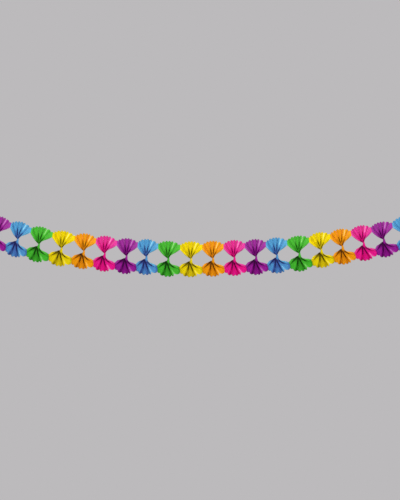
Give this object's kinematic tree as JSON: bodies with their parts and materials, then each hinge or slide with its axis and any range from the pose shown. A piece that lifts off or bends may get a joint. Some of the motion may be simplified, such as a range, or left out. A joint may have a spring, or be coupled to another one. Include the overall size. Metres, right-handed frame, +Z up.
{
  "type": "paper garland",
  "caption": "Hanging party garland of pleated tissue-paper bows in rainbow colours, each pinched at its neck and glued to its neighbours at the corners of its scalloped fans.",
  "frame": {"origin": "middle of the box around the garland as it hangs", "axes": "+X along the garland to the viewer's right, +Y from its front to its back, +Z up"},
  "size_m": [1.6916, 0.016, 0.2378],
  "materials": {
    "tissue_purple": "matte, slightly translucent dyed tissue paper",
    "tissue_blue": "matte, slightly translucent dyed tissue paper",
    "tissue_green": "matte, slightly translucent dyed tissue paper",
    "tissue_yellow": "matte, slightly translucent dyed tissue paper",
    "tissue_orange": "matte, slightly translucent dyed tissue paper",
    "tissue_pink": "matte, slightly translucent dyed tissue paper",
    "card": "matte white card"
  },
  "bodies": {
    "root": {"bow_01_purple": "tissue_purple", "bow_02_blue": "tissue_blue", "bow_03_green": "tissue_green", "bow_04_yellow": "tissue_yellow", "bow_05_orange": "tissue_orange", "bow_06_pink": "tissue_pink", "bow_07_purple": "tissue_purple", "bow_08_blue": "tissue_blue", "bow_09_green": "tissue_green", "bow_10_yellow": "tissue_yellow", "bow_11_orange": "tissue_orange", "bow_12_pink": "tissue_pink", "bow_13_purple": "tissue_purple", "bow_14_blue": "tissue_blue", "bow_15_green": "tissue_green", "bow_16_yellow": "tissue_yellow", "bow_17_orange": "tissue_orange", "bow_18_pink": "tissue_pink", "bow_19_purple": "tissue_purple", "bow_20_blue": "tissue_blue", "end_card_left": "card", "end_card_right": "card"}
  },
  "joints": []
}
